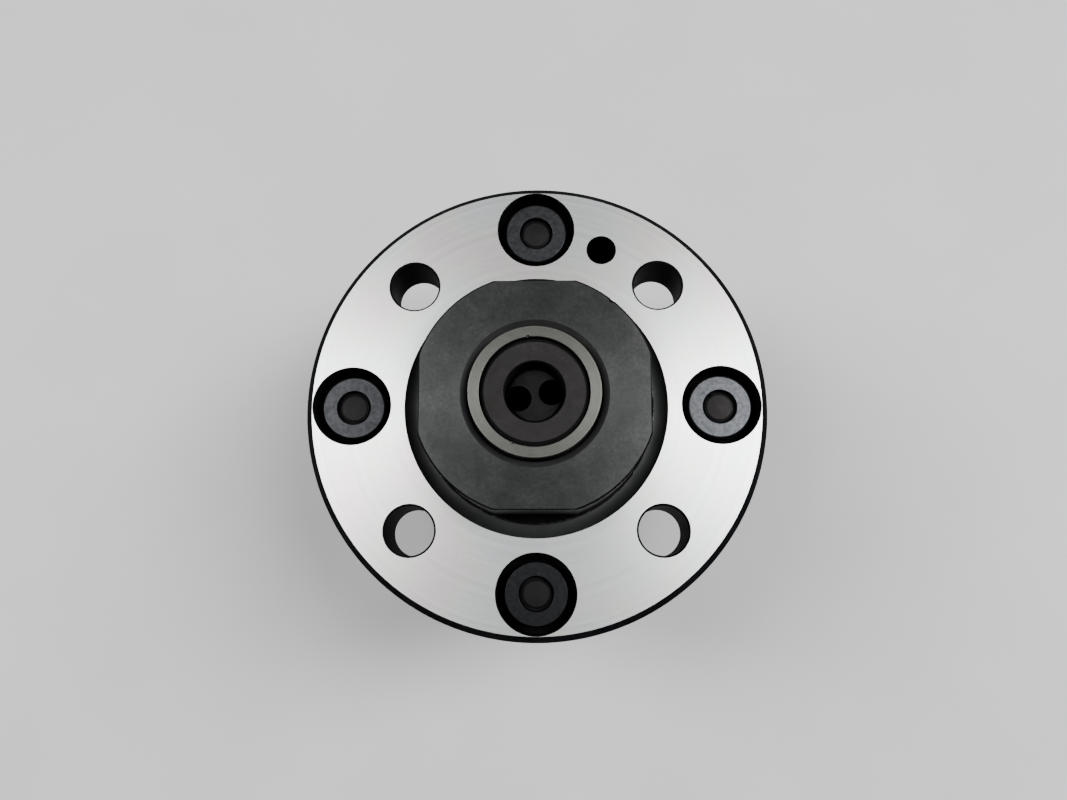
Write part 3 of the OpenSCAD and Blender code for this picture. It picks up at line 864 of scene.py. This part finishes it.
def build_retaining_screw():
    head, top, bottom = screw_high.x, screw_high.z, screw_low.z
    bore, head_chamfer = 6.2, 0.8
    thread_r, thread_top, shank_low = 8.0, -4.5, -4.0
    thread = Thread(thread_r, bottom + 1, thread_top, 1.0, 0.55)
    profile = Profile(
        [(bore + 0.2, top, 0.12), (head - head_chamfer, top, 0.15), (head, top - head_chamfer, 0.15),
         (head, HEAD_LOW), (SHANK_R, HEAD_LOW, 0), (SHANK_R, shank_low), (thread_r, shank_low, 0)]
        + thread.points()[::-1] + [(thread_r - 1, bottom), (bore, bottom), (bore, top - 0.2, 0.1)])
    obj = lathe("retaining_screw_fine", profile, 144, shape=thread.shape, edge_slot=1)
    dress(obj, [brown_oxide("brown_screw"), worn_edge("screw_edge", 0.5, 4.0)])
    adopt(obj, "retaining_screw", "root")


def build_flow_disc():
    """Two-hole disc with a wide chamfer; its chamfer and rim carry painted shade."""
    r, top, bottom = disc_high.x, disc_high.z, disc_low.z
    chamfer, hole_r, hole_x, hole_turn = 0.9, 2.6, 3.45, math.radians(10.6)
    profile = Profile([(0, top), (r - chamfer, top, 0.2), (r, top - chamfer, 0.1), (r, bottom, 0.1),
                       (0, bottom)], closed=False)
    obj = lathe("flow_disc_fine", profile, 96)
    cutters = []
    for side in (0, math.pi):
        hole = Profile([(0, top + 1), (hole_r + 1.1, top + 1, 0), (hole_r + 0.1, top, 0),
                        (hole_r, top - 0.12, 0), (hole_r, bottom - 1, 0), (0, bottom - 1)], closed=False)
        cutters.append(place(lathe("flow_hole", hole, 56), x=hole_x, turn=hole_turn + side))
    carve(obj, cutters)

    def rule(centre, normal):
        return 1 if abs(normal.z) < 0.9 and math.hypot(centre.x, centre.y) > r - chamfer else None

    # Faces round the rim take the shaded oxide: painted shade.
    dress(obj, [grey_disc(), SHADED_OXIDE], rule)
    adopt(obj, "flow_disc", "root")


# ---------- Axial adjusters ----------

def at_adjuster(obj, number):
    """Puts a piece made about the Z axis on its adjuster's axis."""
    obj.location = Vector(polar(adjuster_x, math.pi / 2 * (number - 1))) * MM
    return obj


PAD_LIGHT_AND_WEAR = (1.3, 0.8, 0.65, 0.28)  # tone of each pad, partly painted light for how it lies towards the lamps and partly how far the blue is rubbed off


def build_pad(number):
    r, top, bottom = (pad_high.x - pad_low.x) / 2, pad_high.z, pad_low.z
    chamfer, recess, stem, floor = 0.3, 3.75, 2.95, top - 1.9
    profile = Profile([
        (recess, top, 0.08), (r - chamfer, top, 0.12), (r, top - chamfer, 0.12), (r, bottom + chamfer),
        (r - chamfer, bottom), (stem, bottom), (stem, floor, 0), (recess, floor, 0)])
    obj = at_adjuster(lathe(f"thrust_pad_{number}_fine", profile, 112, edge_slot=1), number)

    # Faces in the recess round the stem take the shaded oxide: painted shade.
    def rule(centre, normal):
        in_recess = centre.z < top - 0.1 and math.hypot(centre.x, centre.y) < recess + 0.02
        return 2 if in_recess else None

    dress(obj, [pad_steel(f"pad_steel_{number}", number, PAD_LIGHT_AND_WEAR[number - 1]),
                worn_edge(f"pad_edge_{number}", 0.56, number), SHADED_OXIDE], rule)
    adopt(obj, f"thrust_pad_{number}", f"pad_{number}")


def build_adjusting_screw(number):
    thread_r, groove, shoulder = 5.0, 2.4, -6.5
    stem, stem_wall = 2.9, 3.0
    top, bottom = adjuster_high.z, adjuster_low.z
    clip_top, clip_bottom = clip_high.z + 0.02, clip_low.z - 0.02
    hex_across, hex_depth, socket_r = 5.0, 4.0, 2.6
    thread = Thread(thread_r, bottom + 0.6, shoulder - 0.6, 1.0, 0.55)

    def shape(r, z, angle):
        if abs(r - socket_r) < 1e-6:
            return hexagon(hex_across, angle)
        if abs(r - stem) < 1e-6:  # the stem's wall and the socket's mouth
            return stem_wall
        return thread.shape(r, z, angle)

    profile = Profile(
        [(0, top), (stem - 0.2, top, 0.1), (stem, top - 0.2, 0.1), (stem, clip_top, 0), (groove, clip_top, 0),
         (groove, clip_bottom, 0), (stem, clip_bottom, 0), (stem, shoulder, 0), (thread_r - 0.6, shoulder, 0)]
        + thread.points()[::-1]
        + [(thread_r - 0.6, bottom), (stem, bottom, 0), (socket_r, bottom + 0.25, 0),
           (socket_r, bottom + hex_depth - 0.6, 0), (0, bottom + hex_depth)], closed=False)
    obj = at_adjuster(lathe(f"adjusting_screw_{number}_fine", profile, 96, shape=shape, edge_slot=1), number)
    # The stem's tone follows its pad's factor: partly painted light, partly a rubbed finish.
    dress(obj, [brown_oxide(f"stem_oxide_{number}", number, 0.15 + PAD_LIGHT_AND_WEAR[number - 1] * 0.5),
                worn_edge(f"stem_edge_{number}", 0.58, number + 9)])
    adopt(obj, f"adjusting_screw_{number}", f"screw_{number}")


def build_clip(number):
    """Open ring that snaps into the stem's groove; its gap lies at 135 degrees."""
    inner, outer, steps = 2.42, 3.65, 72
    bottom, top = clip_low.z, clip_high.z
    half_gap = math.asin(0.8 / 3.0)
    start = math.pi / 2 * (number - 1) + math.radians(135) + half_gap
    section = Profile([(inner, bottom), (outer, bottom), (outer, top), (inner, top)], radius=0.12).points
    rings = []
    for i in range(steps + 1):
        a = start + (TURN - 2 * half_gap) * i / steps
        rings.append([polar(r, a, z) for r, z in section])
    obj = at_adjuster(skin(f"pad_clip_{number}_fine", rings, [0] * len(rings), False), number)
    # The clip sits in the pad's recess and is painted with the shaded oxide: painted shade.
    dress(obj, [SHADED_OXIDE])
    adopt(obj, f"pad_clip_{number}", f"screw_{number}")


# ---------- Cutter ----------

HEAD_R = 30.4
SHELL_R = 24.0  # the head where it meets the neck
SHELL_BORE_R, SHELL_BORE_LOW = 13.5, -51.0
SCREW_HOLE_R = 6.6
SCREW_SEAT_R, SCREW_SEAT_Z = 11.0, -57.0
BODY_FRONT = cut_z + 1.2
FLARE_STEPS = 14
KEYWAY_HALF = 6.1
FLUTE_R, FLUTE_TILT = 8.0, math.radians(14)
INSERT_GAP = 0.03
CUT_REACH = 45.0  # well outside the head
INSERT_SIZE = insert_high.z - insert_low.z
CUTTING_R = 31.5
INSERT_INNER = CUTTING_R - INSERT_SIZE
INSERT_T = 4.76
RELIEF = INSERT_T * math.tan(math.radians(11))
FIRST_INSERT = math.radians(63)
INSERTS = range(1, 5)


def insert_turn(number):
    return FIRST_INSERT + math.pi / 2 * (number - 1)


def head_profile():
    flare_top, flare_low = seat_z - 14, cut_z + 14
    rise, drop = HEAD_R - SHELL_R, flare_top - flare_low
    flare_r = (rise ** 2 + drop ** 2) / (2 * rise)
    reach = math.asin(drop / flare_r)
    flare = []
    for i in range(FLARE_STEPS + 1):
        a = math.pi + reach * i / FLARE_STEPS
        flare.append((SHELL_R + flare_r * (1 + math.cos(a)), flare_top + flare_r * math.sin(a), 0))
    shell = [(SHELL_BORE_R + 0.5, seat_z, 0.1), (SHELL_R - 0.8, seat_z, 0.1), (SHELL_R, seat_z - 0.8, 0.1)]
    front = [(HEAD_R, BODY_FRONT + 1, 0.25), (HEAD_R - 1, BODY_FRONT, 0.25),
             (SCREW_SEAT_R + 1, BODY_FRONT, 0.1), (SCREW_SEAT_R, BODY_FRONT + 1, 0.1)]
    bore = [(SCREW_SEAT_R, SCREW_SEAT_Z, 0.3), (SCREW_HOLE_R, SCREW_SEAT_Z),
            (SCREW_HOLE_R, SHELL_BORE_LOW, 0), (SHELL_BORE_R, SHELL_BORE_LOW, 0),
            (SHELL_BORE_R, seat_z - 0.5)]
    return Profile(shell + flare + front + bore)


def insert_seat():
    """Wedge-sided seat, as a closed prism between its mouth and its floor."""
    low, high = cut_z - 5, cut_z + INSERT_SIZE + INSERT_GAP
    inner, outer = INSERT_INNER - INSERT_GAP, CUTTING_R + 5
    bm = bmesh.new()
    rings = []
    for y, step in ((-0.02, 0.0), (INSERT_T + 0.01, RELIEF)):
        corners = [(inner + step, low), (outer, low), (outer, high - step), (inner + step, high - step)]
        rings.append([bm.verts.new(Vector((x, y, z)) * MM) for x, z in corners])
    for ring in rings:
        bm.faces.new(ring)
    for i in range(4):
        k = (i + 1) % 4
        bm.faces.new([rings[0][i], rings[0][k], rings[1][k], rings[1][i]])
    bmesh.ops.recalc_face_normals(bm, faces=bm.faces)
    return add_object(bm, "insert_seat")


def gullet_flute():
    """Ball-nosed flute that runs out up the flank."""
    r, top, length, steps = FLUTE_R, cut_z + INSERT_SIZE + 5, 40, 14
    dome = [(0, r)]
    for i in range(1, steps + 1):
        a = math.pi / 2 * i / steps
        dome.append((r * math.sin(a), r * math.cos(a), 0))
    obj = lathe("flute", Profile(dome + [(r, -length, 0), (0, -length)], closed=False), 72)
    shift = Matrix.Translation(Vector((INSERT_INNER + r, -r, top)) * MM)
    obj.data.transform(shift @ Matrix.Rotation(FLUTE_TILT, 4, "Y"))
    return obj


def build_cutter_head():
    obj = lathe("cutter_head_fine", head_profile(), 240, edge_slot=1)
    flutes, windows, seats = [], [], []
    window_low = INSERT_INNER - INSERT_GAP, -FLUTE_R, cut_z - 5
    window_high = CUT_REACH, 0.0, cut_z + INSERT_SIZE + INSERT_GAP
    for number in INSERTS:
        turn = insert_turn(number)
        flutes.append(place(gullet_flute(), turn=turn))
        windows.append(place(block("window", window_low, window_high), turn=turn))
        seats.append(place(insert_seat(), turn=turn))
    for cutters in (flutes, windows, seats):
        carve(obj, cutters)
    across = SHELL_R + 2
    keyway = block("keyway", (-across, -KEYWAY_HALF, key_low.z - 0.4), (across, KEYWAY_HALF, seat_z + 1))
    carve(obj, [keyway])
    dress(obj, [oxide("cutter_oxide", (0.010, 0.010, 0.0115), (0.028, 0.029, 0.031), 0.36, 6.0, 0.5),
                worn_edge("cutter_edge", 0.5, 6.0)])
    adopt(obj, "cutter_head", "root")


def insert_matrix(number):
    """Frame of an insert: X radial, Y along the spindle, Z out of the rake face."""
    a = insert_turn(number)
    radial, back = Vector((math.cos(a), math.sin(a), 0)), Vector((-math.sin(a), math.cos(a), 0))
    centre = radial * (INSERT_INNER + INSERT_SIZE / 2) + Vector((0, 0, cut_z + INSERT_SIZE / 2))
    turn = Matrix((radial, Vector((0, 0, 1)), -back)).transposed().to_4x4()
    return Matrix.Translation(centre * MM) @ turn


def square_radius(half, corner, angle):
    """Distance from the middle of a rounded square to its outline at an angle."""
    c, s = abs(math.cos(angle)), abs(math.sin(angle))
    c, s = max(c, s), min(c, s)
    k = half - corner
    if half * s / c <= k:
        return half / c
    return k * (c + s) + math.sqrt(max(0.0, (k * (c + s)) ** 2 - 2 * k * k + corner ** 2))


def insert_angles():
    """Angles that crowd at the four corners of the insert."""
    half_steps, crowding = 12, 2.2
    quarter = []
    for i in range(1, 2 * half_steps):
        t = i / half_steps - 1
        quarter.append(math.pi / 4 * (1 + math.copysign(abs(t) ** crowding, t)))
    return [k * math.pi / 2 + a for k in range(4) for a in [0.0] + quarter]


def build_insert(number):
    """Square insert: countersunk hole, boss, chip-breaker groove, land, relieved sides."""
    half, corner, hole = INSERT_SIZE / 2, 0.8, 2.2
    foot = half - RELIEF
    bore = [(hole, -INSERT_T), (hole, -2.0), (hole + 0.15, -1.8)]
    boss = [(3.05, -0.12), (3.2, -0.02), (3.35, 0.0), (3.9, 0.0), (4.15, -0.06), (4.45, -0.28)]
    chip_breaker = [(half - 1.25, 1.6, -0.34), (half - 0.8, 1.2, -0.26), (half - 0.42, 0.95, -0.1),
                    (half - 0.24, 0.88, -0.02)]
    land = [(half - 0.12, 0.84, 0.0), (half - 0.03, corner, 0.0), (half, corner, -0.04)]
    sides = [(half - 0.02, corner, -0.1), (foot + 0.12, corner, -INSERT_T + 0.12),
             (foot, corner, -INSERT_T + 0.04), (foot - 0.1, corner, -INSERT_T)]
    angles = insert_angles()
    rings = []
    for r, z in bore + boss:
        rings.append([polar(r, a, z) for a in angles])
    for size, rounding, z in chip_breaker + land + sides:
        rings.append([polar(square_radius(size, rounding, a), a, z) for a in angles])
    before_land = len(bore + boss + chip_breaker)
    bands = [0] * before_land + [1] * len(land) + [0] * len(sides)
    obj = skin(f"cutting_insert_{number}_fine", rings, bands, True)
    obj.matrix_basis = insert_matrix(number)
    dress(obj, [coated_carbide(f"gold_coat_{number}", number),
                satin_steel(f"carbide_edge_{number}", (0.32, 0.32, 0.33), 0.3)])
    adopt(obj, f"cutting_insert_{number}", "root")


def build_insert_screw(number):
    """Countersunk screw with a six-lobed socket."""
    head, shank, length = 3.0, 2.0, 10.5
    head_top, socket, depth, lobe = -0.1, 1.3, 1.7, 0.16
    thread = Thread(shank, -length + 0.4, -2.6, 0.7, 0.35, 0.02)

    def shape(r, z, angle):
        if abs(r - socket) < 1e-6 or abs(r - socket - 0.12) < 1e-6:
            return r + lobe * math.cos(6 * angle)
        return thread.shape(r, z, angle)

    profile = Profile(
        [(0, head_top - depth - 0.3), (socket, head_top - depth, 0), (socket, head_top - 0.15, 0),
         (socket + 0.12, head_top, 0), (head - 0.12, head_top, 0.05), (head, head_top - 0.12, 0.05),
         (shank, -2.1, 0)]
        + thread.points()[::-1] + [(shank - 0.4, -length), (0, -length)], closed=False)
    obj = lathe(f"insert_screw_{number}_fine", profile, 72, shape=shape, edge_slot=1)
    obj.matrix_basis = insert_matrix(number)
    dress(obj, [FASTENER, WORN])
    adopt(obj, f"insert_screw_{number}", "root")


# ---------- Keys and hidden fasteners ----------

KEY_SCREW_X = 19.5
KEY_STEP = key_low.z + 4.4  # the key screw's head bears here
KEY_HEAD_LOW = key_low.z + 0.4


def build_key(name, turn):
    """Ground key with rounded edges and a counterbored screw hole."""
    low, high = key_low, key_high
    obj = block(name + "_fine", low, high)
    change = obj.modifiers.new("round", "BEVEL")
    change.width, change.segments = 0.35 * MM, 3
    settle(obj)
    sink_r, hole_r = 3.7, 2.2
    hole = Profile([(0, low.z - 1), (sink_r + 0.3, low.z - 1, 0), (sink_r + 0.2, low.z, 0),
                    (sink_r, low.z + 0.2, 0), (sink_r, KEY_STEP, 0), (hole_r, KEY_STEP, 0),
                    (hole_r, high.z + 1, 0), (0, high.z + 1)], closed=False)
    carve(obj, [place(lathe("key_hole", hole, 64), x=KEY_SCREW_X)])
    obj.data.transform(Matrix.Rotation(turn, 4, "Z"))
    dress(obj, [GROUND_KEY])
    adopt(obj, name, "root")


def cap_screw(name, head_r, head_low, head_top, shank_r, tip, across, depth, pitch, bore=0.0):
    """Cap screw on the Z axis with its head down: socket from below, thread up to the tip."""
    socket_r, floor = across / 2 + 0.1, head_low + depth
    thread = Thread(shank_r, head_top + 0.6, tip - 0.4, pitch, 0.55 * pitch)

    def shape(r, z, angle):
        return hexagon(across, angle) if abs(r - socket_r) < 1e-6 else thread.shape(r, z, angle)

    edge = min(0.6, head_r * 0.15)
    outside = [(socket_r, head_low, 0), (head_r - edge, head_low, 0.15), (head_r, head_low + edge, 0.15),
               (head_r, head_top, 0.15), (shank_r + 0.02, head_top, 0)] + thread.points()
    if bore:
        inside = [(shank_r - edge, tip), (bore, tip), (bore, floor, 0), (socket_r, floor, 0)]
        profile = Profile(outside + inside)
    else:
        points = [(0, floor + 0.3), (socket_r, floor, 0)] + outside + [(shank_r - 0.4, tip), (0, tip)]
        profile = Profile(points, closed=False)
    return lathe(name, profile, 96, shape=shape, edge_slot=1)


def build_key_screws():
    screws = []
    for turn in (0, math.pi):
        screw = cap_screw("key_screw", 3.5, KEY_HEAD_LOW, KEY_STEP, 2.0, key_screw_tip, 3.0, 2.0, 0.7)
        screws.append(place(screw, x=KEY_SCREW_X, turn=turn))
    obj = join(screws, "key_screws_fine")
    dress(obj, [FASTENER, WORN])
    adopt(obj, "key_screws", "root")


def build_arbor_screw():
    obj = cap_screw("arbor_screw_fine", arbor_high.x, arbor_low.z, arbor_low.z + 8, 6.0, arbor_high.z,
                    across=10.0, depth=5.0, pitch=1.75, bore=2.5)
    dress(obj, [FASTENER, WORN])
    adopt(obj, "arbor_screw", "root")


build_flange()
build_sleeve()
build_seal()
build_spring()
build_retaining_screw()
build_flow_disc()
for index in ADJUSTERS:
    build_pad(index)
    build_adjusting_screw(index)
    build_clip(index)
build_cutter_head()
for index in INSERTS:
    build_insert(index)
    build_insert_screw(index)
build_key("drive_key_1", 0)
build_key("drive_key_2", math.pi)
build_key_screws()
build_arbor_screw()


# ---------- Stage, lights and camera ----------

FLOOR_HALF = 3.0
SOFTBOX_SIZE = (0.4, 0.9)
SOFTBOX_DISTANCE = 1.2


def build_stage():
    """Pale floor under the inserts, much wider than any view."""
    bm = bmesh.new()
    bmesh.ops.create_grid(bm, x_segments=2, y_segments=2, size=FLOOR_HALF)
    floor = add_object(bm, "floor")
    floor.location.z = cad_low.z
    p = Paint("pale_floor", 0.0, 0.6)
    p.shades(p.noise(0.02, 3.0), (0.53, 0.53, 0.54), (0.57, 0.57, 0.575))
    floor.data.materials.append(p.material)


def softbox(name, aim, power):
    """Area light in the direction `aim` from the object, facing it."""
    data = bpy.data.lights.new(name, "AREA")
    data.shape = "RECTANGLE"
    data.size, data.size_y = SOFTBOX_SIZE
    data.energy = power
    lamp = new_object(name, data)
    direction = Vector(aim).normalized()
    lamp.location = direction * SOFTBOX_DISTANCE
    lamp.rotation_euler = direction.to_track_quat("Z", "Y").to_euler()


def build_lights():
    softbox("right_softbox", (0.56, 0.15, 0.82), 22.0)
    softbox("left_softbox", (-0.60, 0.15, 0.80), 16.0)
    world = bpy.data.worlds.new("studio")
    world.use_nodes = True
    background = world.node_tree.nodes["Background"]
    background.inputs["Color"].default_value = (0.9, 0.92, 0.95, 1)
    background.inputs["Strength"].default_value = 0.1
    bpy.context.scene.world = world


CAMERA_PLACE = (3.55, -36.44, 198.8)
CAMERA_PITCH = math.radians(10.71)
CAMERA_ROLL_Y = math.radians(1.18)


def build_camera():
    data = bpy.data.cameras.new("camera")
    data.lens = 31.55
    data.sensor_width = 36
    data.clip_start, data.clip_end = 0.01, 20
    camera = new_object("camera", data)
    turn = Matrix.Rotation(CAMERA_ROLL_Y, 4, "Y") @ Matrix.Rotation(CAMERA_PITCH, 4, "X")
    camera.matrix_world = Matrix.Translation(Vector(CAMERA_PLACE) * MM) @ turn
    bpy.context.scene.camera = camera


build_stage()
build_lights()
build_camera()
